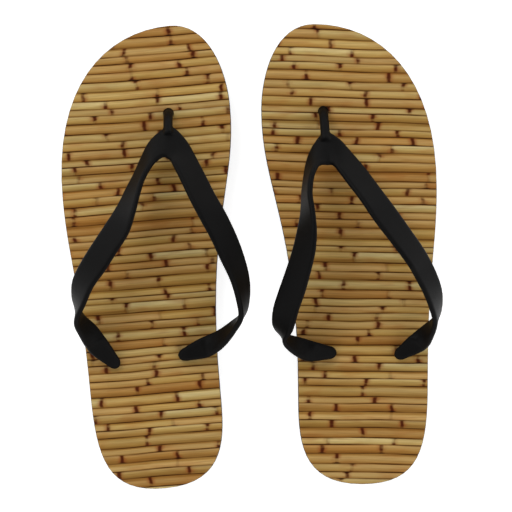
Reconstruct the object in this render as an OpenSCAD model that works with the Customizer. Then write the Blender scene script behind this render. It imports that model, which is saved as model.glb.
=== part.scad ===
// A pair of thong sandals: cloth-topped slab soles with moulded Y straps.
// X runs across the pair to the right, Y runs from heel to toe and Z is up.
// The origin lies on the floor, under the middle of the pair.
// Each sole is drawn as a right foot's, from the back of its heel, with the
// little toe's side at +X. The left one is its mirror image.

/* [Sole outline] */
// Length of the sole, from heel to toe
sole_l = 280; // [230:1:340]
// Width of the sole, over both sides of the ball
sole_w = 106.5; // [88:0.5:130]
// Reach of the ball to the little toe's side of the heel's middle line
ball_out = 45.5; // [38:0.1:56]
// Distance of the widest point on the little toe's side from the toe end
ball_out_from_toe = 100; // [84:0.5:122]
// Distance of the widest point on the big toe's side from the toe end
ball_in_from_toe = 52; // [44:0.5:64]
// Reach of the heel to the little toe's side
heel_out = 40; // [33:0.5:47]
// Reach of the heel to the big toe's side
heel_in = 38.5; // [32:0.5:46]
// Distance of the heel's widest point from its back, little toe's side
heel_out_y = 62; // [52:0.5:74]
// Distance of the heel's widest point from its back, big toe's side
heel_in_y = 55; // [46:0.5:66]
// Offset of the toe end to the big toe's side
toe_tip_in = 29; // [20:0.5:36]

/* [Sole layers] */
// Thickness of the outsole
outsole_h = 5; // [4:0.5:7]
// Thickness of the midsole at the toe end
midsole_h = 6; // [4:0.5:10]
// Extra height of the midsole at the heel
heel_lift = 4; // [1:0.5:8]
// Thickness of the cushion sheet
cushion_h = 3; // [2:0.5:5]
// Thickness of the cloth footbed
footbed_h = 1; // [0.8:0.1:2]

/* [Tread] */
// Distance from one tread groove to the next
groove_pitch = 9; // [7:0.5:14]
// Width of a tread groove
groove_w = 2.5; // [1.5:0.1:3.5]
// Depth of a tread groove
groove_depth = 1.5; // [0.8:0.1:2]
// Width of the plain rim round the tread
tread_rim = 7; // [5:0.5:10]
// Length of one zigzag of a groove
zigzag_l = 16; // [10:1:24]
// Height of one zigzag of a groove
zigzag_h = 5; // [2:0.5:8]

/* [Strap plugs] */
// Distance of the toe hole from the toe end
toe_hole_from_toe = 53; // [44:0.5:63]
// Offset of the toe hole to the big toe's side
toe_hole_in = 23.5; // [18:0.5:28]
// Distance of the side holes from the heel's back
side_hole_y = 80; // [68:0.5:98]
// Distance of the side hole from the middle line, little toe's side
side_hole_out = 24.5; // [20:0.5:28]
// Distance of the side hole from the middle line, big toe's side
side_hole_in = 20.5; // [17:0.5:24]
// Diameter of a stem
stem_d = 6; // [5:0.1:7.5]
// Gap between a stem and its hole, all round
stem_gap = 0.2; // [0.1:0.05:0.4]
// Diameter of the button at the end of a stem
button_d = 18; // [14:0.5:22]
// Thickness of a button
button_h = 2; // [1.5:0.1:2.6]
// Depth of the recess that holds a button
recess_depth = 2.8; // [2:0.1:3.4]
// Gap between a button and its recess, all round
recess_gap = 0.8; // [0.3:0.1:1.5]
// Width of the plain pad round a recess
recess_pad = 3; // [2:0.5:5]

/* [Strap] */
// Width of the strap over the foot
strap_w = 18.6; // [18.6:0.1:23]
// Width of the strap where it ends over a side hole
strap_end_w = 8.2; // [7:0.1:12]
// Reach of a strap end past the middle of its side hole
strap_end_l = 5.4; // [4:0.1:7]
// Width of the strap at its peak over the toe post
strap_head_w = 22; // [19:0.5:25]
// Thickness of the strap
strap_t = 3; // [2.4:0.1:4]
// Angle at which the strap's ends rise from the footbed
strap_end_lean = 25; // [15:1:35]
// Gap between the strap's rounded ends and the footbed
strap_end_gap = 0.3; // [0.3:0.1:1]
// Diameter of the toe post
post_d = 5.4; // [4.5:0.1:6]

/* [Pair] */
// Distance from one heel's middle line to the other's
pair_pitch = 119.5; // [118:0.5:160]
// Distance that the left heel lies behind the right heel
left_back = 2.5; // [0:0.5:20]
// Turn of the left sandal, toes away from the right one
left_turn = 5.5; // [0:0.5:10]

/* [Hidden] */

outline_steps = 16;
strap_steps = 5;
band_sides = 12;
post_sides = 12;
post_steps = 8;
tip_steps = 4;
tip_last_angle = 80;
overrun = 1;
black_rubber = [0.09, 0.09, 0.09];
black_foam = [0.16, 0.16, 0.17];
grey_foam = [0.3, 0.3, 0.31];
bamboo_print = [0.62, 0.49, 0.28];

// Outline: six curved stretches between the points where it runs straight
// along X or Y. The fullness pair says how far each end's tangent reaches,
// as a share of the stretch.
ball_in = sole_w - ball_out;
heel_back = [0, 0];
heel_right = [heel_out, heel_out_y];
ball_right = [ball_out, sole_l - ball_out_from_toe];
toe_end = [-toe_tip_in, sole_l];
ball_left = [-ball_in, sole_l - ball_in_from_toe];
heel_left = [-heel_in, heel_in_y];

function bezier(a, b, c, d, t) =
    a * pow(1 - t, 3) + 3 * b * t * pow(1 - t, 2) + 3 * c * t * t * (1 - t) + d * t * t * t;

// leave and arrive are unit vectors along X or Y
function stretch(from, to, leave, arrive, fullness) =
    let (
        span = to - from,
        first = from + leave * fullness[0] * abs(span * leave),
        second = to - arrive * fullness[1] * abs(span * arrive)
    )
    [for (i = [0 : outline_steps - 1]) bezier(from, first, second, to, i / outline_steps)];

outline = concat(
    stretch(heel_back, heel_right, [1, 0], [0, 1], [0.89, 0.65]),
    stretch(heel_right, ball_right, [0, 1], [0, 1], [0.60, 0.32]),
    stretch(ball_right, toe_end, [0, 1], [-1, 0], [0.70, 0.53]),
    stretch(toe_end, ball_left, [-1, 0], [0, -1], [0.74, 0.42]),
    stretch(ball_left, heel_left, [0, -1], [0, -1], [0.28, 0.60]),
    stretch(heel_left, heel_back, [0, -1], [1, 0], [0.51, 0.98])
);

function unit(v) = v / norm(v);

// The outline moved inwards by a distance
function inset(path, distance) =
    let (n = len(path))
    [for (i = [0 : n - 1])
        let (along = unit(path[(i + 1) % n] - path[(i + n - 1) % n]))
        path[i] + distance * [-along[1], along[0]]];

// Heights
slope = heel_lift / sole_l;
bed_up = outsole_h + midsole_h;
function bed_z(y, up) = bed_up + heel_lift - slope * y + up;
top_up = cushion_h + footbed_h;
function top_z(y) = bed_z(y, top_up);

// Plug places
toe_hole = [-toe_hole_in, sole_l - toe_hole_from_toe];
out_hole = [side_hole_out, side_hole_y];
in_hole = [-side_hole_in, side_hole_y];
plug_holes = [out_hole, in_hole, toe_hole];
hole_d = stem_d + 2 * stem_gap;
recess_d = button_d + 2 * recess_gap;

// Arms of the straps, from the side hole to the toe. Each row is one place
// along the arm: the lower edge's share of the way from the side hole to the
// toe hole in percent, its offset in X from the straight line between those
// holes, the same two for the upper edge, and the height of the arm's middle
// above the footbed. Offsets and heights are in millimetres.
right_arm_out = [
    [7, 8, 1.5, 15, 9],
    [10.5, 17, 6.5, 21, 14],
    [14.5, 27, 12, 25, 19],
    [19, 32, 17, 25.5, 24],
    [26, 35.5, 24.5, 24.5, 29.5],
    [33.5, 35.5, 32, 22, 34],
    [42, 33, 37, 20, 37],
    [51.5, 28, 46.5, 14, 37.5],
    [60.5, 23, 55, 8.5, 35.5],
    [68.5, 18, 63, 4.5, 31.5],
    [76, 13.5, 70, 0, 27],
    [82.5, 8.5, 75, -3, 23],
    [88.5, 3.5, 77.5, -5.5, 20],
];
right_arm_in = [
    [4.5, -8, -3.5, -13, 8],
    [6, -16.5, 0, -22, 12],
    [7.5, -26.5, 4.5, -26.5, 16],
    [11.5, -33, 9, -22, 20],
    [18, -33, 18, -17.5, 25.5],
    [25.5, -29.5, 25.5, -13.5, 31],
    [33.5, -25, 34, -10, 35.5],
    [42, -20.5, 43, -7, 37.5],
    [50.5, -17, 51.5, -6.5, 37],
    [58, -14.5, 58.5, -7.5, 34.5],
    [65.5, -13.5, 65.5, -9, 31],
    [72.5, -12, 72, -8, 27],
    [79.5, -10, 76, -5.5, 23.5],
    [86, -6, 77.5, -2.5, 20.5],
];
left_arm_out = [
    [9, 6.5, 4.5, 15.5, 9],
    [15.5, 16, 11.5, 23.5, 14.5],
    [20.5, 25.5, 17.5, 28, 20],
    [27.5, 33, 24.5, 25, 26.5],
    [35, 35.5, 31.5, 22, 32],
    [42.5, 32.5, 37.5, 17, 36],
    [50, 27.5, 45, 12, 37],
    [57, 22.5, 52, 7.5, 35.5],
    [63.5, 18, 59.5, 6.5, 32.5],
    [70, 15, 66.5, 6.5, 28.5],
    [76, 12, 73, 6, 25],
    [82, 10, 78, 3.5, 22],
    [89.5, 6.5, 80.5, 0.5, 20],
];
left_arm_in = [
    [6, -9, -2, -14, 8],
    [8, -19.5, 2, -23, 12.5],
    [11, -28.5, 8, -30.5, 17],
    [15, -37, 13, -34.5, 21],
    [22.5, -40.5, 20.5, -33.5, 26],
    [30, -41, 29, -30.5, 30.5],
    [38.5, -39, 37.5, -25.5, 34.5],
    [47, -35.5, 46.5, -20.5, 37],
    [56, -30.5, 55.5, -14.5, 36.5],
    [64.5, -24.5, 63.5, -9.5, 33.5],
    [73.5, -19, 71.5, -5, 29],
    [81.5, -14, 78, -1, 24.5],
    [88.5, -9, 80.5, 1, 21],
];
// The peak between the arms, as its front edge's share and offset from the
// line between the little toe's side hole and the toe hole, the same two for
// its back edge, and its height
right_peak = [91, -3.5, 77.5, -8.5, 19];
left_peak = [94, -3.2, 82, -3.4, 19];

// A place on an arm: lower edge x and y, upper edge x and y, height, width.
// Width grows from the plug's end over the first rows.
full_width_row = 4;
function edge_at(hole, share, offset) =
    hole + (toe_hole - hole) * share / 100 + [offset, 0];
function width_at(row) =
    strap_end_w + (strap_w - strap_end_w) * sin(90 * min(1, row / full_width_row));
function place(hole, row, width) =
    concat(edge_at(hole, row[0], row[1]), edge_at(hole, row[2], row[3]), [row[4], width]);
function places(hole, rows) =
    [for (i = [0 : len(rows) - 1]) place(hole, rows[i], width_at(i + 1))];

// The strap's round end over a side hole. turn is 1 where the lower edge lies
// to the left of the way out from the hole, and -1 where it lies to the right.
end_height = strap_t / 2 + strap_end_gap + strap_end_l * sin(strap_end_lean);
function way_out(hole, first) =
    unit([first[0] + first[2], first[1] + first[3]] / 2 - hole);
function end_place(hole, first, turn, angle) =
    let (
        way = way_out(hole, first),
        middle = hole - way * strap_end_l * cos(strap_end_lean) * sin(angle),
        side = turn * [-way[1], way[0]] * strap_end_w / 2 * cos(angle),
        height = end_height - strap_end_l * sin(strap_end_lean) * sin(angle)
    )
    concat(middle + side, middle - side, [height, 2 * norm(side)]);
function end_tip(hole, first, turn) =
    [for (i = [tip_steps : -1 : 1])
        end_place(hole, first, turn, tip_last_angle * i / tip_steps)];

function through(before, a, b, after, t) =
    0.5 * (2 * a + (b - before) * t + (2 * before - 5 * a + 4 * b - after) * t * t
        + (3 * a - before - 3 * b + after) * t * t * t);
function smoothed(rows) =
    let (last = len(rows) - 1)
    concat(
        [for (i = [0 : last - 1], k = [0 : strap_steps - 1])
            through(rows[max(i - 1, 0)], rows[i], rows[i + 1], rows[min(i + 2, last)],
                k / strap_steps)],
        [rows[last]]
    );
function backwards(rows) = [for (i = [len(rows) - 1 : -1 : 0]) rows[i]];

// Every place along a strap, from one rounded end to the other
function strap_places(arm_out, arm_in, peak) =
    let (
        out_places = places(out_hole, arm_out),
        in_places = places(in_hole, arm_in),
        out_first = out_places[0],
        in_first = in_places[0],
        body = smoothed(concat(
            [end_place(out_hole, out_first, 1, 0)],
            out_places,
            [place(out_hole, peak, strap_head_w)],
            backwards(in_places),
            [end_place(in_hole, in_first, -1, 0)]
        ))
    )
    concat(
        end_tip(out_hole, out_first, 1),
        body,
        backwards(end_tip(in_hole, in_first, -1))
    );

// The two edges of a place as points in space. The upper edge stands above
// the lower one by as much as the strap's true width needs.
function lift(p) =
    let (flat = norm([p[2] - p[0], p[3] - p[1]]))
    sqrt(max(0, p[5] * p[5] - flat * flat)) / 2;
function base_z(p) = top_z((p[1] + p[3]) / 2) + p[4];
function lower_edge(p) = [p[0], p[1], base_z(p) - lift(p)];
function upper_edge(p) = [p[2], p[3], base_z(p) + lift(p)];
function middle_of(p) = (lower_edge(p) + upper_edge(p)) / 2;

function ring(places, i) =
    let (
        low = lower_edge(places[i]),
        high = upper_edge(places[i]),
        ahead = middle_of(places[min(i + 1, len(places) - 1)]),
        behind = middle_of(places[max(i - 1, 0)]),
        across = unit(high - low),
        outward = unit(cross(ahead - behind, across)),
        half = norm(high - low) / 2,
        round_r = min(strap_t / 2, half),
        flat_half = half - round_r
    )
    [for (k = [0 : band_sides - 1])
        let (a = 360 * (k + 0.5) / band_sides)
        (low + high) / 2 + across * (sign(cos(a)) * flat_half + round_r * cos(a))
            + outward * round_r * sin(a)];

function flattened(lists) = [for (list = lists) each list];

// Faces of a tube made of rings with the same number of points
function tube_faces(rings, sides) = concat(
    [[for (k = [0 : sides - 1]) k]],
    [for (i = [0 : rings - 2], k = [0 : sides - 1])
        [i * sides + k, (i + 1) * sides + k, (i + 1) * sides + (k + 1) % sides]],
    [for (i = [0 : rings - 2], k = [0 : sides - 1])
        [i * sides + k, (i + 1) * sides + (k + 1) % sides, i * sides + (k + 1) % sides]],
    [[for (k = [sides - 1 : -1 : 0]) (rings - 1) * sides + k]]
);

function band_points(places) = flattened([for (i = [0 : len(places) - 1]) ring(places, i)]);

// The toe post rises straight out of its hole and leans back to the peak
post_root = 3;
post_rise = 12;
post_lean = [0, 5, -5];
post_share = 0.25;
function post_middle(peak_place, t) =
    let (
        foot = [toe_hole[0], toe_hole[1], top_z(toe_hole[1]) - post_root],
        head = lower_edge(peak_place) * (1 - post_share) + upper_edge(peak_place) * post_share
    )
    bezier(foot, foot + [0, 0, post_rise], head + post_lean, head, t);
function post_ring(peak_place, i) =
    let (
        t = i / post_steps,
        step = 0.5 / post_steps,
        along = unit(post_middle(peak_place, min(1, t + step))
            - post_middle(peak_place, max(0, t - step))),
        right = unit(cross(along, [0, -1, 0])),
        front = cross(along, right)
    )
    [for (k = [0 : post_sides - 1])
        post_middle(peak_place, t)
            + (right * cos(360 * k / post_sides) + front * sin(360 * k / post_sides)) * post_d / 2];

right_places = strap_places(right_arm_out, right_arm_in, right_peak);
left_places = strap_places(left_arm_out, left_arm_in, left_peak);
right_band = band_points(right_places);
left_band = band_points(left_places);

// Where the sandals stand: the middle of the pair's box is the origin
function turned(p) = [
    p[0] * cos(left_turn) - p[1] * sin(left_turn),
    p[0] * sin(left_turn) + p[1] * cos(left_turn),
];
function left_on_floor(p) = turned([-p[0], p[1]]) + [-pair_pitch, -left_back];
pair_points = concat(
    outline,
    [for (p = right_band) [p[0], p[1]]],
    [for (p = outline) left_on_floor(p)],
    [for (p = left_band) left_on_floor(p)]
);
pair_x = [for (p = pair_points) p[0]];
pair_y = [for (p = pair_points) p[1]];
pair_middle = [(min(pair_x) + max(pair_x)) / 2, (min(pair_y) + max(pair_y)) / 2, 0];

module at_right() {
    translate(-pair_middle) children();
}

module at_left() {
    translate([-pair_pitch, -left_back, 0] - pair_middle)
        rotate([0, 0, left_turn]) mirror([1, 0, 0]) children();
}

// A sheet with the sole's outline between two sloping heights above bed_up
module sheet(from_up, to_up) {
    near = -overrun;
    far = sole_l + overrun;
    intersection() {
        linear_extrude(height = top_z(0) + overrun) polygon(outline);
        rotate([90, 0, 90]) translate([0, 0, -sole_w]) linear_extrude(height = 2 * sole_w)
            polygon([
                [near, bed_z(near, from_up)],
                [far, bed_z(far, from_up)],
                [far, bed_z(far, to_up)],
                [near, bed_z(near, to_up)],
            ]);
    }
}

module plug_bores() {
    for (hole = plug_holes)
        translate([hole[0], hole[1], -overrun])
            cylinder(d = hole_d, h = top_z(0) + 2 * overrun, $fn = 48);
}

// One zigzag groove across the sole
zigzags = 2 * ceil(sole_w / zigzag_l);
module zigzag() {
    front_side = [for (j = [-zigzags : zigzags])
        [j * zigzag_l / 2, (j % 2 == 0 ? zigzag_h : -zigzag_h) / 2 + groove_w / 2]];
    back_side = [for (j = [zigzags : -1 : -zigzags])
        [j * zigzag_l / 2, (j % 2 == 0 ? zigzag_h : -zigzag_h) / 2 - groove_w / 2]];
    polygon(concat(front_side, back_side));
}

module tread() {
    linear_extrude(height = 2 * groove_depth, center = true) difference() {
        intersection() {
            polygon(inset(outline, tread_rim));
            for (y = [groove_pitch : groove_pitch : sole_l])
                translate([0, y]) zigzag();
        }
        for (hole = plug_holes)
            translate(hole) circle(d = recess_d + 2 * recess_pad, $fn = 48);
    }
}

module outsole() {
    difference() {
        linear_extrude(height = outsole_h) polygon(outline);
        tread();
        plug_bores();
        for (hole = plug_holes)
            translate([hole[0], hole[1], -overrun])
                cylinder(d = recess_d, h = recess_depth + overrun, $fn = 48);
    }
}

module midsole() {
    difference() {
        intersection() {
            translate([0, 0, outsole_h])
                linear_extrude(height = midsole_h + heel_lift + overrun) polygon(outline);
            sheet(-bed_up - heel_lift, 0);
        }
        plug_bores();
    }
}

module cushion() {
    difference() {
        sheet(0, cushion_h);
        plug_bores();
    }
}

module footbed() {
    difference() {
        sheet(cushion_h, top_up);
        plug_bores();
    }
}

// A stem with the button that sits in the outsole's recess
module plug(hole, top) {
    translate([hole[0], hole[1], recess_depth - button_h]) {
        cylinder(d = button_d, h = button_h, $fn = 48);
        cylinder(d = stem_d, h = top - recess_depth + button_h, $fn = 48);
    }
}

module strap(places, band, peak_place) {
    polyhedron(points = band, faces = tube_faces(len(places), band_sides));
    polyhedron(
        points = flattened([for (i = [0 : post_steps]) post_ring(peak_place, i)]),
        faces = tube_faces(post_steps + 1, post_sides)
    );
    plug(out_hole, top_z(side_hole_y) + end_height);
    plug(in_hole, top_z(side_hole_y) + end_height);
    plug(toe_hole, top_z(toe_hole[1]) + strap_end_gap);
}

module left_outsole() {
    color(black_rubber) at_left() outsole();
}

module left_midsole() {
    color(black_foam) at_left() midsole();
}

module left_cushion() {
    color(grey_foam) at_left() cushion();
}

module left_footbed() {
    color(bamboo_print) at_left() footbed();
}

module left_strap() {
    color(black_rubber) at_left()
        strap(left_places, left_band, place(out_hole, left_peak, strap_w));
}

module right_outsole() {
    color(black_rubber) at_right() outsole();
}

module right_midsole() {
    color(black_foam) at_right() midsole();
}

module right_cushion() {
    color(grey_foam) at_right() cushion();
}

module right_footbed() {
    color(bamboo_print) at_right() footbed();
}

module right_strap() {
    color(black_rubber) at_right()
        strap(right_places, right_band, place(out_hole, right_peak, strap_w));
}

left_outsole();
left_midsole();
left_cushion();
left_footbed();
left_strap();
right_outsole();
right_midsole();
right_cushion();
right_footbed();
right_strap();
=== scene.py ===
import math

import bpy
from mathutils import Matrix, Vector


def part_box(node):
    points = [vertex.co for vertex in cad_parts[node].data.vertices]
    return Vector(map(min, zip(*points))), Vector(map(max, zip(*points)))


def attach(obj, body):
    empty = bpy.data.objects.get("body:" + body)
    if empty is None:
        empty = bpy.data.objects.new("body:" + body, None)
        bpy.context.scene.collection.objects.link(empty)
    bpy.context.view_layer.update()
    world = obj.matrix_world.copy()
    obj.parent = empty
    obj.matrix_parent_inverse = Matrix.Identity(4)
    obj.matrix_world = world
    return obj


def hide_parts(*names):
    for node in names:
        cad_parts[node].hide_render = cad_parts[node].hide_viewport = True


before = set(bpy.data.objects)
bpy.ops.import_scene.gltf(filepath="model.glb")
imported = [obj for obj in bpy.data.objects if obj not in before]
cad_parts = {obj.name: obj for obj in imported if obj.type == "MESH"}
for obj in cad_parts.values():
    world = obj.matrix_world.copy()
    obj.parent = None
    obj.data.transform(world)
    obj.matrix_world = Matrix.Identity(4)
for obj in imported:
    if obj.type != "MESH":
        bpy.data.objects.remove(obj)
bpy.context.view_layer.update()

# %% [markdown]
# # A pair of bamboo-print thong sandals
# The frame holds the real sizes: sole sheets, straps and their places. This
# lesson dresses it. Each sandal is a stack of die-cut sheets with a printed
# cloth on top, and one moulded rubber strap that is buttoned through it.

SANDALS = {"left": "left_sandal", "right": "right_sandal"}
MM = 0.001


# %% [markdown]
# ## Camera, floor and light
# A pair in a shop picture is seen from straight above through a long lens, so
# that soles don't lean outwards. A lens that is far away could be an
# orthographic camera, but a perspective one also works for close views of the
# pair. The floor is plain white paper. A pale sky gives an even light with
# soft contact shadows, and the paper lies on a dim light table, which keeps it
# white between the sandals. Its underside is clear, so that the treads can be
# looked at from below. The sky is dimmer straight overhead, because flat black
# rubber that mirrors a white ceiling looks grey, and two large soft lamps to
# the sides give the rubber its sheen.

# %% Camera
CAMERA_HEIGHT = 4.0
VIEW_WIDTH = 0.3119
SENSOR_MM = 36.0
CLIP_END = 20.0
AIM = Vector((0.0026, 0.0002, 0.017))


def add_camera():
    data = bpy.data.cameras.new("camera")
    data.sensor_width = SENSOR_MM
    data.lens = SENSOR_MM * CAMERA_HEIGHT / VIEW_WIDTH
    data.clip_end = CLIP_END
    camera = bpy.data.objects.new("camera", data)
    camera.location = AIM + Vector((0, 0, CAMERA_HEIGHT))
    bpy.context.scene.collection.objects.link(camera)
    bpy.context.scene.camera = camera
    return camera


print("lens, mm:", round(add_camera().data.lens, 1))


# %% Helpers for nodes and colours
def linear(hex_colour):
    """An sRGB hex colour as linear RGBA."""
    channels = [int(hex_colour[i:i + 2], 16) / 255 for i in (1, 3, 5)]
    return [c / 12.92 if c <= 0.04045 else ((c + 0.055) / 1.055) ** 2.4 for c in channels] + [1.0]


def new_material(name):
    material = bpy.data.materials.new(name)
    material.use_nodes = True
    tree = material.node_tree
    return material, tree, tree.nodes["Principled BSDF"]


def add(tree, kind, links=None, **settings):
    """Adds a node. Plain settings are its properties, links its inputs."""
    node = tree.nodes.new(kind)
    for name, value in settings.items():
        setattr(node, name, value)
    for name, value in (links or {}).items():
        if isinstance(value, bpy.types.NodeSocket):
            tree.links.new(value, node.inputs[name])
        else:
            node.inputs[name].default_value = value
    return node


print("a mid tan in linear light:", [round(c, 3) for c in linear("#B7945E")])


# %% Floor
FLOOR_SIZE = 8.0
FLOOR_GLOW = 0.62
FLOOR_GAP = 0.2 * MM


def add_floor():
    """Matt white paper: even and bright, with no mirror image of the soles."""
    bpy.ops.mesh.primitive_plane_add(size=FLOOR_SIZE, location=(0, 0, -FLOOR_GAP))
    floor = bpy.context.object
    floor.name = "floor"
    material, tree, shader = new_material("matt_white_paper")
    side = add(tree, "ShaderNodeNewGeometry")
    clear = add(tree, "ShaderNodeBsdfTransparent")
    one_way = add(tree, "ShaderNodeMixShader", {
        0: side.outputs["Backfacing"], 1: shader.outputs[0], 2: clear.outputs[0]})
    tree.links.new(one_way.outputs[0], tree.nodes["Material Output"].inputs["Surface"])
    shader.inputs["Base Color"].default_value = linear("#FBFBFB")
    shader.inputs["Roughness"].default_value = 0.9
    shader.inputs["Specular IOR Level"].default_value = 0.1
    shader.inputs["Emission Color"].default_value = linear("#FFFFFF")
    shader.inputs["Emission Strength"].default_value = FLOOR_GLOW
    floor.data.materials.append(material)
    return floor


print("stage:", add_floor().name)


# %% Sky and lamps
def add_lamp(name, place, size, watts):
    data = bpy.data.lights.new(name, "AREA")
    data.shape = "DISK"
    data.size = size
    data.energy = watts
    lamp = bpy.data.objects.new(name, data)
    lamp.location = place
    lamp.rotation_euler = (AIM - Vector(place)).to_track_quat("-Z", "Y").to_euler()
    bpy.context.scene.collection.objects.link(lamp)
    return lamp


def add_sky(colour, overhead, around):
    """A pale studio: bright up to 30 degrees over the floor, dimmest above 67."""
    world = bpy.data.worlds.new("studio")
    world.use_nodes = True
    tree = world.node_tree
    direction = add(tree, "ShaderNodeTexCoord")
    height = add(tree, "ShaderNodeSeparateXYZ", {0: direction.outputs["Generated"]})
    strength = add(tree, "ShaderNodeMapRange", {
        "Value": height.outputs["Z"], "From Min": 0.5, "From Max": 0.92,
        "To Min": around, "To Max": overhead}, interpolation_type="SMOOTHSTEP")
    background = tree.nodes["Background"]
    background.inputs["Color"].default_value = linear(colour)
    tree.links.new(strength.outputs[0], background.inputs["Strength"])
    bpy.context.scene.world = world


add_sky("#FFFFFF", overhead=0.3, around=1.15)
add_lamp("soft_key", place=(-0.7, 0.9, 1.3), size=0.9, watts=7.0)
add_lamp("soft_fill", place=(0.9, -0.5, 1.2), size=1.0, watts=3.0)
bpy.context.scene.view_settings.view_transform = "Standard"


# %% [markdown]
# ## Copies of the frame's solids
# A dressed piece starts as a copy of its CAD solid, so its size and place are
# exact. The copy is loose triangles, so its doubles are merged and its flat
# faces joined before any edge can be bevelled. Its object stays at the origin,
# because the shape's place is in its mesh.

# %% Copy and edit helpers
MERGE_DISTANCE = 0.01 * MM
FLAT_ANGLE = math.radians(0.5)


def make_active(piece):
    for other in bpy.context.selected_objects:
        other.select_set(False)
    piece.select_set(True)
    bpy.context.view_layer.objects.active = piece


def copy_of(node, name):
    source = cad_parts[node]
    piece = bpy.data.objects.new(name, source.data.copy())
    piece.data.materials.clear()
    bpy.context.scene.collection.objects.link(piece)
    make_active(piece)
    bpy.ops.object.mode_set(mode="EDIT")
    bpy.ops.mesh.select_all(action="SELECT")
    bpy.ops.mesh.remove_doubles(threshold=MERGE_DISTANCE)
    bpy.ops.mesh.dissolve_limited(angle_limit=FLAT_ANGLE)
    bpy.ops.mesh.normals_make_consistent(inside=False)
    bpy.ops.object.mode_set(mode="OBJECT")
    return piece


def apply_modifier(piece, kind, **settings):
    make_active(piece)
    bpy.ops.object.modifier_add(type=kind)
    modifier = piece.modifiers[-1]
    for name, value in settings.items():
        setattr(modifier, name, value)
    bpy.ops.object.modifier_apply(modifier=modifier.name)


def dress(piece, side, node, material):
    """Gives a piece its finish and its body, and hides the CAD node that it stands for."""
    piece.data.materials.append(material)
    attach(piece, SANDALS[side])
    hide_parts(node)
    print(piece.name, "faces:", len(piece.data.polygons))
    return piece


print("solids to dress:", len(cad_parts))


# %% [markdown]
# ## The printed bamboo cloth
# The footbed is thin polyester cloth with a picture of split bamboo printed
# on it: canes about 5 mm wide side by side across the sole, each broken by
# dark nodes every few centimetres. A picture file could carry the print, but
# a pattern worked out by nodes stays sharp at any distance. A one-way Voronoi
# texture cuts the length of the sole into canes of uneven width, and a second
# one, started at a different place on each cane, cuts every cane into
# internodes. Each internode gets its tan from a colour ramp, by a chance that
# is partly its cane's and partly its own, so a cane keeps a family likeness.
# The distance to the nearest cane border draws the dark gap, and the distance
# to the nearest internode border draws the node.

# %% Print: sizes in millimetres, and how uneven they are
CANE_WIDTH = 5.05
NODE_SPACING = 40.0
NODE_RAGGED = 1.3
WAVE_LENGTH = 70.0
WAVE_HEIGHT = 2.6
# From 0, where all are the same size, to 1.
CANE_UNEVEN = 0.75
NODE_UNEVEN = 0.75
print("canes in 100 mm of sole:", round(100 / CANE_WIDTH, 1))


# %% Print: canes and the distance to their borders
def cane_layout(tree, turn, start):
    """The print's own millimetres, and where each point lies on its cane."""
    place = add(tree, "ShaderNodeTexCoord")
    print_mm = add(tree, "ShaderNodeMapping", {
        "Vector": place.outputs["Object"], "Location": start,
        "Rotation": (0, 0, turn), "Scale": (1 / MM, 1 / MM, 1 / MM)})
    axes = add(tree, "ShaderNodeSeparateXYZ", {0: print_mm.outputs[0]})
    wave = add(tree, "ShaderNodeTexNoise", {
        "Vector": print_mm.outputs[0], "Scale": 1 / WAVE_LENGTH, "Detail": 1.0},
        noise_dimensions="2D")
    bent = add(tree, "ShaderNodeMath", {
        0: wave.outputs["Fac"], 1: WAVE_HEIGHT, 2: axes.outputs["Y"]}, operation="MULTIPLY_ADD")
    across = add(tree, "ShaderNodeMath", {0: bent.outputs[0], 1: CANE_WIDTH}, operation="DIVIDE")
    cane, border = [add(tree, "ShaderNodeTexVoronoi", {
        "W": across.outputs[0], "Scale": 1.0, "Randomness": CANE_UNEVEN},
        voronoi_dimensions="1D", feature=feature) for feature in ("F1", "DISTANCE_TO_EDGE")]
    offset = add(tree, "ShaderNodeMath", {
        0: across.outputs[0], 1: cane.outputs["W"]}, operation="SUBTRACT")
    to_gap = add(tree, "ShaderNodeMath", {
        0: border.outputs["Distance"], 1: CANE_WIDTH}, operation="MULTIPLY")
    return {
        "mm": print_mm.outputs[0], "along": axes.outputs["X"], "up": axes.outputs["Y"],
        "cane": cane.outputs["Color"], "offset": offset.outputs[0], "to_gap": to_gap.outputs[0],
    }


def streaks(tree, layout, length, width, detail):
    """Noise drawn out along the canes, with sizes in millimetres."""
    stretched = add(tree, "ShaderNodeVectorMath", {
        0: layout["mm"], 1: (1 / length, 1 / width, 1.0)}, operation="MULTIPLY")
    noise = add(tree, "ShaderNodeTexNoise", {
        "Vector": stretched.outputs[0], "Scale": 1.0, "Detail": detail},
        noise_dimensions="2D")
    return noise.outputs["Fac"]


print("widest shift of a cane, mm:", WAVE_HEIGHT)


# %% Print: internodes and the distance to their nodes
# Starts of canes lie up to this many internodes apart, so none repeats.
CANE_SHUFFLE = 97.0


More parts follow.
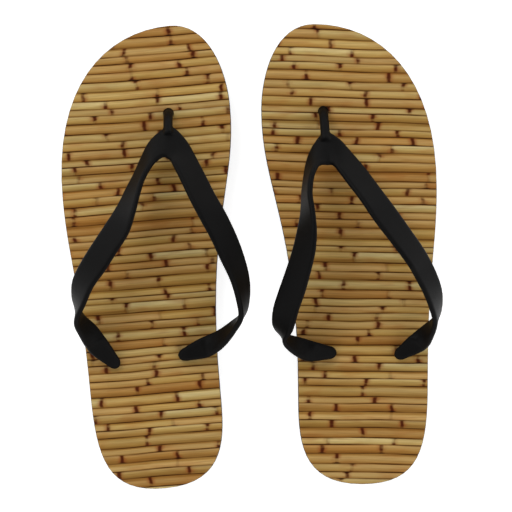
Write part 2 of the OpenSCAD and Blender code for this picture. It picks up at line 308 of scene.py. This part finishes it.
def internode_layout(tree, layout):
    """Cuts each cane into internodes: a random colour and mm to the node."""
    chance = add(tree, "ShaderNodeSeparateColor", {0: layout["cane"]})
    ragged = add(tree, "ShaderNodeMath", {
        0: streaks(tree, layout, length=7.0, width=3.4, detail=0.0), 1: NODE_RAGGED,
        2: layout["along"]}, operation="MULTIPLY_ADD")
    spaced = add(tree, "ShaderNodeMath", {
        0: ragged.outputs[0], 1: NODE_SPACING}, operation="DIVIDE")
    started = add(tree, "ShaderNodeMath", {
        0: chance.outputs["Red"], 1: CANE_SHUFFLE, 2: spaced.outputs[0]},
        operation="MULTIPLY_ADD")
    internode, border = [add(tree, "ShaderNodeTexVoronoi", {
        "W": started.outputs[0], "Scale": 1.0, "Randomness": NODE_UNEVEN},
        voronoi_dimensions="1D", feature=feature) for feature in ("F1", "DISTANCE_TO_EDGE")]
    to_node = add(tree, "ShaderNodeMath", {
        0: border.outputs["Distance"], 1: NODE_SPACING}, operation="MULTIPLY")
    layout["internode"] = internode.outputs["Color"]
    layout["to_node"] = to_node.outputs[0]
    layout["cane_chance"] = chance.outputs["Green"]
    layout["cane_side"] = chance.outputs["Blue"]
    return layout


print("nodes in 280 mm of cane:", round(280 / NODE_SPACING, 1))


# %% Print: colours of the canes
# Tans from dark to pale, then shades across a cane, lightest along its crown.
INTERNODE_TANS = [
    (0.00, "#AC8148"), (0.16, "#B18B52"), (0.30, "#B5935B"), (0.44, "#B7945E"),
    (0.56, "#B69861"), (0.68, "#B59456"), (0.80, "#BA9F67"), (0.90, "#BEA771"),
    (1.00, "#C3AF7B"),
]
CROSS_SHADES = [
    (0.00, "#C9B48C"), (0.14, "#DCCAA6"), (0.36, "#EFE5CE"), (0.62, "#FFFEFA"),
    (0.86, "#FCF8EE"), (0.95, "#E8DCC0"), (1.00, "#D6C5A0"),
]


def fill_ramp(node, stops):
    elements = node.color_ramp.elements
    while len(elements) > 1:
        elements.remove(elements[-1])
    elements[0].position, elements[0].color = stops[0][0], linear(stops[0][1])
    for position, colour in stops[1:]:
        elements.new(position).color = linear(colour)


print("tans:", len(INTERNODE_TANS), "shades across a cane:", len(CROSS_SHADES))


# %% Print: a tan for each internode
OWN_SHARE = 0.45
PATCH_BROWN = "#A0652F"


def internode_tan(tree, layout):
    """A tan for each internode, with brown patches a few centimetres long."""
    chance = add(tree, "ShaderNodeMix", {
        "Factor": OWN_SHARE, "A": layout["cane"], "B": layout["internode"]}, data_type="RGBA")
    parted = add(tree, "ShaderNodeSeparateColor", {0: chance.outputs["Result"]})
    spread = add(tree, "ShaderNodeMapRange", {
        "Value": parted.outputs["Blue"], "From Min": 0.12, "From Max": 0.88})
    tan = add(tree, "ShaderNodeValToRGB", {0: spread.outputs[0]})
    fill_ramp(tan, INTERNODE_TANS)
    patch = add(tree, "ShaderNodeMapRange", {
        "Value": streaks(tree, layout, length=24.0, width=6.0, detail=2.0),
        "From Min": 0.54, "From Max": 0.76, "To Min": 0.0, "To Max": 0.36})
    warm = add(tree, "ShaderNodeMix", {
        "Factor": patch.outputs[0], "A": tan.outputs[0], "B": linear(PATCH_BROWN)},
        data_type="RGBA")
    return warm.outputs["Result"]


print("share of a tan's chance that is the internode's own:", OWN_SHARE)


# %% Print: the round of each cane and its fibres
FIBRE_WIDTH = 0.7


def cane_colour(tree, layout):
    """Each internode's tan, shaded round across the cane, with fine fibres."""
    from_edge = add(tree, "ShaderNodeMath", {0: layout["offset"], 1: 0.5}, operation="ADD")
    shade = add(tree, "ShaderNodeValToRGB", {0: from_edge.outputs[0]})
    fill_ramp(shade, CROSS_SHADES)
    rounded = add(tree, "ShaderNodeMix", {
        "Factor": 1.0, "A": internode_tan(tree, layout), "B": shade.outputs[0]},
        data_type="RGBA", blend_type="MULTIPLY")
    fibre = add(tree, "ShaderNodeMapRange", {
        "Value": streaks(tree, layout, length=22.0, width=FIBRE_WIDTH, detail=3.0),
        "From Min": 0.3, "From Max": 0.7, "To Min": 0.86, "To Max": 1.12})
    tone = add(tree, "ShaderNodeMapRange", {
        "Value": layout["cane_chance"], "To Min": 0.9, "To Max": 1.08})
    level = add(tree, "ShaderNodeMath", {
        0: fibre.outputs[0], 1: tone.outputs[0]}, operation="MULTIPLY")
    return add(tree, "ShaderNodeVectorMath", {
        0: rounded.outputs["Result"], "Scale": level.outputs[0]}, operation="SCALE").outputs[0]


print("fibres across a cane:", round(CANE_WIDTH / FIBRE_WIDTH))


# %% Print: dark gaps between canes
SHADOW_BROWN, GAP_BROWN = "#6A3604", "#220E00"
SHADOW_SHARE = 0.72


def stain(tree, colour, brown, distance, solid, gone, strength):
    """Stains what is within solid mm of a border, fading out by gone mm."""
    near = add(tree, "ShaderNodeMapRange", {
        "Value": distance, "From Min": solid, "From Max": gone, "To Min": 1.0, "To Max": 0.0},
        interpolation_type="SMOOTHSTEP")
    amount = add(tree, "ShaderNodeMath", {0: near.outputs[0], 1: strength}, operation="MULTIPLY")
    stained = add(tree, "ShaderNodeMix", {
        "Factor": amount.outputs[0], "A": colour, "B": linear(brown)}, data_type="RGBA")
    return stained.outputs["Result"]


def stain_gaps(tree, layout, colour):
    """A soft shadow and a thin dark line, which come and go along the gap."""
    strength = add(tree, "ShaderNodeMapRange", {
        "Value": streaks(tree, layout, length=45.0, width=2.5, detail=2.0),
        "From Min": 0.38, "From Max": 0.6, "To Min": 0.4, "To Max": 1.0})
    shadow = add(tree, "ShaderNodeMath", {
        0: strength.outputs[0], 1: SHADOW_SHARE}, operation="MULTIPLY")
    colour = stain(tree, colour, SHADOW_BROWN, layout["to_gap"],
                   solid=0.15, gone=0.85, strength=shadow.outputs[0])
    return stain(tree, colour, GAP_BROWN, layout["to_gap"],
                 solid=0.04, gone=0.46, strength=strength.outputs[0])


print("shadow and gap:", SHADOW_BROWN, GAP_BROWN)


# %% Print: dark nodes along the canes
HALO_BROWN, BAR_BROWN, KNOT_BROWN = "#86421A", "#441602", "#1E0A00"


def knot_strength(tree, layout, bar):
    """Strong near a node, on one side of the cane: which side is by chance."""
    facing = add(tree, "ShaderNodeMapRange", {
        "Value": layout["cane_side"], "From Min": 0.45, "From Max": 0.55,
        "To Min": -1.0, "To Max": 1.0})
    side = add(tree, "ShaderNodeMath", {
        0: layout["offset"], 1: facing.outputs[0]}, operation="MULTIPLY")
    half = add(tree, "ShaderNodeMapRange", {"Value": side.outputs[0], "From Max": 0.25})
    near = add(tree, "ShaderNodeMapRange", {
        "Value": layout["to_node"], "From Min": 0.6, "From Max": 3.4,
        "To Min": 1.0, "To Max": 0.0}, interpolation_type="SMOOTHSTEP")
    near_half = add(tree, "ShaderNodeMath", {
        0: near.outputs[0], 1: half.outputs[0]}, operation="MULTIPLY")
    return add(tree, "ShaderNodeMath", {
        0: near_half.outputs[0], 1: bar}, operation="MULTIPLY").outputs[0]


def draw_gaps_and_nodes(tree, layout, colour):
    """Stains the canes: a warm halo, the node's bar, the gap, and its knot."""
    patchy = streaks(tree, layout, length=11.0, width=4.0, detail=1.0)
    halo = add(tree, "ShaderNodeMapRange", {
        "Value": patchy, "From Min": 0.4, "From Max": 0.62, "To Min": 0.05, "To Max": 0.72})
    bar = add(tree, "ShaderNodeMapRange", {
        "Value": patchy, "From Min": 0.36, "From Max": 0.57, "To Min": 0.22, "To Max": 0.95})
    colour = stain(tree, colour, HALO_BROWN, layout["to_node"],
                   solid=0.4, gone=4.2, strength=halo.outputs[0])
    colour = stain(tree, colour, BAR_BROWN, layout["to_node"],
                   solid=0.35, gone=1.75, strength=bar.outputs[0])
    colour = stain_gaps(tree, layout, colour)
    return stain(tree, colour, KNOT_BROWN, layout["to_gap"],
                 solid=0.25, gone=1.1, strength=knot_strength(tree, layout, bar.outputs[0]))


print("halo, bar and knot:", HALO_BROWN, BAR_BROWN, KNOT_BROWN)


# %% Cloth: thread bump and the finished material
# Threads 0.4 mm apart are a real knit's, and show only in close views.
THREAD = 0.4
THREAD_DEPTH = 0.1 * MM


def weave_height(tree, layout):
    """Over-and-under threads, THREAD mm apart."""
    waves = []
    for axis in ("along", "up"):
        phase = add(tree, "ShaderNodeMath", {
            0: layout[axis], 1: math.pi / THREAD}, operation="MULTIPLY")
        waves.append(add(tree, "ShaderNodeMath", {0: phase.outputs[0]}, operation="SINE"))
    return add(tree, "ShaderNodeMath", {
        0: waves[0].outputs[0], 1: waves[1].outputs[0]}, operation="MULTIPLY").outputs[0]


def printed_cloth(name, turn_degrees, start):
    """Polyester knit with a dye print: matt, with a faint sheen of its own."""
    material, tree, shader = new_material(name)
    layout = internode_layout(tree, cane_layout(tree, math.radians(turn_degrees), start))
    colour = draw_gaps_and_nodes(tree, layout, cane_colour(tree, layout))
    bump = add(tree, "ShaderNodeBump", {
        "Height": weave_height(tree, layout), "Strength": 0.25, "Distance": THREAD_DEPTH})
    rough = add(tree, "ShaderNodeMapRange", {
        "Value": streaks(tree, layout, length=8.0, width=2.0, detail=2.0),
        "From Min": 0.3, "From Max": 0.7, "To Min": 0.62, "To Max": 0.78})
    tree.links.new(colour, shader.inputs["Base Color"])
    tree.links.new(bump.outputs[0], shader.inputs["Normal"])
    tree.links.new(rough.outputs[0], shader.inputs["Roughness"])
    shader.inputs["Specular IOR Level"].default_value = 0.06
    shader.inputs["Sheen Weight"].default_value = 0.01
    shader.inputs["Sheen Roughness"].default_value = 0.5
    return material


CLOTHS = {
    "left": printed_cloth("polyester_cloth_bamboo_print_left",
                          turn_degrees=-4.4, start=(161.0, 37.0, 0.0)),
    "right": printed_cloth("polyester_cloth_bamboo_print_right",
                           turn_degrees=0.9, start=(20.0, 11.0, 0.0)),
}
print("cloth nodes:", {side: len(m.node_tree.nodes) for side, m in CLOTHS.items()})


# %% [markdown]
# ## The footbed cloth
# The cloth is 1 mm with its backing, cut by the same die as the foam under it,
# and its cut edge is pressed round by the blade. A single plane could carry
# the print, but it would have no edge and no holes for the strap's posts. So
# the frame's own sheet is used, and all its rims are rounded with a small
# bevel. The bevel works on edges over 40 degrees, so it leaves the many short
# sides of the outline alone. They are shaded smooth instead.

# %% Rounded rims and the two footbeds
RIM_ANGLE = math.radians(40)
CLOTH_RIM = 0.35 * MM


def round_rims(piece, width, segments):
    apply_modifier(piece, "BEVEL", width=width, segments=segments, limit_method="ANGLE",
                   angle_limit=RIM_ANGLE, use_clamp_overlap=True)
    make_active(piece)
    bpy.ops.object.shade_smooth_by_angle(angle=RIM_ANGLE)


for side in SANDALS:
    footbed = copy_of(f"{side}_footbed", f"{side}_printed_footbed")
    round_rims(footbed, CLOTH_RIM, segments=3)
    dress(footbed, side, f"{side}_footbed", CLOTHS[side])


# %% [markdown]
# ## The foam under the cloth
# Under the cloth lie 3 mm of soft open foam and a firmer wedge of closed-cell
# foam that lifts the heel by 4 mm. Both are die-cut, so their walls are upright
# with a fine open grain where the blade cut through the cells, whose hollows get
# painted shade, and they swell out a little between the glue lines, because the stack is pressed
# together.
# A plain extruded sheet would look like card. So each copy is cut once along
# its middle height, the new loop is pushed out by a fraction of a millimetre,
# and the rims at the glue lines are rounded into a thin groove.

# %% Two shades that drift into each other
FOAM_PATCH_MM = 11.1


def drift(tree, shader, shades, patch_mm, roughness, spread):
    """Lets the tone and the roughness change together, patch by patch."""
    place = add(tree, "ShaderNodeTexCoord")
    patches = add(tree, "ShaderNodeTexNoise", {
        "Vector": place.outputs["Object"], "Scale": 1 / (patch_mm * MM), "Detail": 3.0})
    tone = add(tree, "ShaderNodeMix", {
        "Factor": patches.outputs["Fac"], "A": linear(shades[0]), "B": linear(shades[1])},
        data_type="RGBA")
    rough = add(tree, "ShaderNodeMapRange", {
        "Value": patches.outputs["Fac"], "From Min": 0.3, "From Max": 0.7,
        "To Min": roughness - spread, "To Max": roughness + spread})
    tree.links.new(rough.outputs[0], shader.inputs["Roughness"])
    return place.outputs["Object"], tone.outputs["Result"]


print("patches of tone in foam, mm:", FOAM_PATCH_MM)


# %% Foam material
def cut_foam(name, shades, pit_shade_colour, cell_mm, roughness):
    """EVA foam: dull, with painted shade in the broken cells on the cut, which catch no clear
    light.
    """
    material, tree, shader = new_material(name)
    place, tone = drift(tree, shader, shades, FOAM_PATCH_MM, roughness, 0.06)
    cells = add(tree, "ShaderNodeTexVoronoi", {"Vector": place, "Scale": 1 / (cell_mm * MM)})
    # Painted shade: the colour darkens towards each cell's centre, where the broken cell is
    # hollow.
    painted_pit_shade = add(tree, "ShaderNodeMapRange", {
        "Value": cells.outputs["Distance"], "From Max": 0.6, "To Min": 0.35, "To Max": 0.0})
    pit_shaded = add(tree, "ShaderNodeMix", {
        "Factor": painted_pit_shade.outputs[0], "A": tone, "B": linear(pit_shade_colour)}, data_type="RGBA")
    bump = add(tree, "ShaderNodeBump", {
        "Height": cells.outputs["Distance"], "Strength": 0.6, "Distance": cell_mm * MM / 2})
    tree.links.new(pit_shaded.outputs["Result"], shader.inputs["Base Color"])
    tree.links.new(bump.outputs[0], shader.inputs["Normal"])
    shader.inputs["Specular IOR Level"].default_value = 0.3
    return material


# The third colour of each foam is the painted shade for its broken cells.
FOAMS = {
    "cushion": cut_foam("open_cell_cushion_foam_charcoal", ("#2B2927", "#35322F"), "#151413",
                        cell_mm=0.7, roughness=0.9),
    "midsole": cut_foam("closed_cell_eva_foam_black", ("#1B1A19", "#232120"), "#0E0D0D",
                        cell_mm=0.45, roughness=0.8),
}
print("foams:", {layer: foam.name for layer, foam in FOAMS.items()})


# %% Foam layers
FOAM_RIM = 0.3 * MM
SWELL = {"cushion": 0.25 * MM, "midsole": 0.35 * MM}
END_BAND = 10 * MM


def swell_wall(piece, node, amount):
    """Cuts the wall along its middle height and pushes the new loop out."""
    low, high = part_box(node)
    corners = [v.co for v in piece.data.vertices]
    heel = [p.z for p in corners if p.y < low[1] + END_BAND]
    toe = [p.z for p in corners if p.y > high[1] - END_BAND]
    heel_mid = (min(heel) + max(heel)) / 2
    toe_mid = (min(toe) + max(toe)) / 2
    slope = (toe_mid - heel_mid) / (high[1] - low[1])
    make_active(piece)
    bpy.ops.object.mode_set(mode="EDIT")
    bpy.ops.mesh.select_all(action="SELECT")
    bpy.ops.mesh.bisect(plane_co=(0, low[1], heel_mid), plane_no=(0, -slope, 1))
    bpy.ops.transform.shrink_fatten(value=amount)
    bpy.ops.object.mode_set(mode="OBJECT")


for side in SANDALS:
    for layer, foam in FOAMS.items():
        piece = copy_of(f"{side}_{layer}", f"{side}_{layer}_foam")
        swell_wall(piece, f"{side}_{layer}", SWELL[layer])
        round_rims(piece, FOAM_RIM, segments=2)
        dress(piece, side, f"{side}_{layer}", foam)


# %% [markdown]
# ## The rubber outsole
# The outsole is a 5 mm sheet of moulded rubber with zigzag grooves, and three
# round pockets that hide the strap's buttons. Grooves could be cut again into a
# plain sheet, but the frame's solid has them all in place, so it is copied.
# A mould is never perfectly sharp, so the copy's edges are rounded by a
# quarter of a millimetre, which also lets each groove catch a line of light.
# The grain of a sand-blasted mould is about 0.1 mm, too fine to show, so it is
# drawn three to five times as coarse.

# %% Rubber material
RUBBER_PATCH_MM = 22.2
GRAIN_DEPTH = 0.08 * MM


def moulded_rubber(name, shades, grain_mm, roughness, depth, gloss):
    """Black rubber from a sand-blasted mould: satin, with a fine even grain."""
    material, tree, shader = new_material(name)
    place, tone = drift(tree, shader, shades, RUBBER_PATCH_MM, roughness, 0.05)
    grain = add(tree, "ShaderNodeTexNoise", {
        "Vector": place, "Scale": 1 / (grain_mm * MM), "Detail": 2.0})
    bump = add(tree, "ShaderNodeBump", {
        "Height": grain.outputs["Fac"], "Strength": depth, "Distance": GRAIN_DEPTH})
    tree.links.new(tone, shader.inputs["Base Color"])
    tree.links.new(bump.outputs[0], shader.inputs["Normal"])
    shader.inputs["IOR"].default_value = 1.5
    shader.inputs["Specular IOR Level"].default_value = gloss
    return material


TREAD_RUBBER = moulded_rubber("moulded_tread_rubber_black", ("#1A1918", "#232120"),
                              grain_mm=0.5, roughness=0.68, depth=0.5, gloss=0.2)
print("rubber:", TREAD_RUBBER.name)


# %% Outsoles
OUTSOLE_RIM = 0.25 * MM

for side in SANDALS:
    outsole = copy_of(f"{side}_outsole", f"{side}_rubber_outsole")
    round_rims(outsole, OUTSOLE_RIM, segments=2)
    dress(outsole, side, f"{side}_outsole", TREAD_RUBBER)


# %% [markdown]
# ## The strap
# The strap is one soft rubber moulding: two flat arms that rise from buttons
# at the sides of the instep and meet over the toe post. The frame's strap has
# flat facets, as a drawn solid has. Subdividing it would pinch at the corners
# where the arms join, so the copy is rebuilt from voxels of 0.55 mm and then
# relaxed, which rounds every edge in the way that a moulded edge is round.
# Relaxing takes 0.3 mm off the thickness at each face, so the surface is moved
# back out by as much.

# %% Strap material and pieces
VOXEL = 0.55 * MM
RELAX_STEPS = 18
RELAX_LOSS = 0.3 * MM
STRAP_RUBBER = moulded_rubber("moulded_strap_rubber_black", ("#070707", "#0C0B0B"),
                              grain_mm=0.35, roughness=0.48, depth=0.3, gloss=0.07)

for side in SANDALS:
    strap = copy_of(f"{side}_strap", f"{side}_rubber_strap")
    apply_modifier(strap, "REMESH", mode="VOXEL", voxel_size=VOXEL, use_smooth_shade=True)
    apply_modifier(strap, "SMOOTH", factor=0.5, iterations=RELAX_STEPS)
    apply_modifier(strap, "DISPLACE", strength=RELAX_LOSS, mid_level=0.0)
    dress(strap, side, f"{side}_strap", STRAP_RUBBER)


# %% [markdown]
# ## Sizes
# The dressed pair has to keep the size of the frame.

# %% The scene brought up to date
bpy.context.view_layer.update()
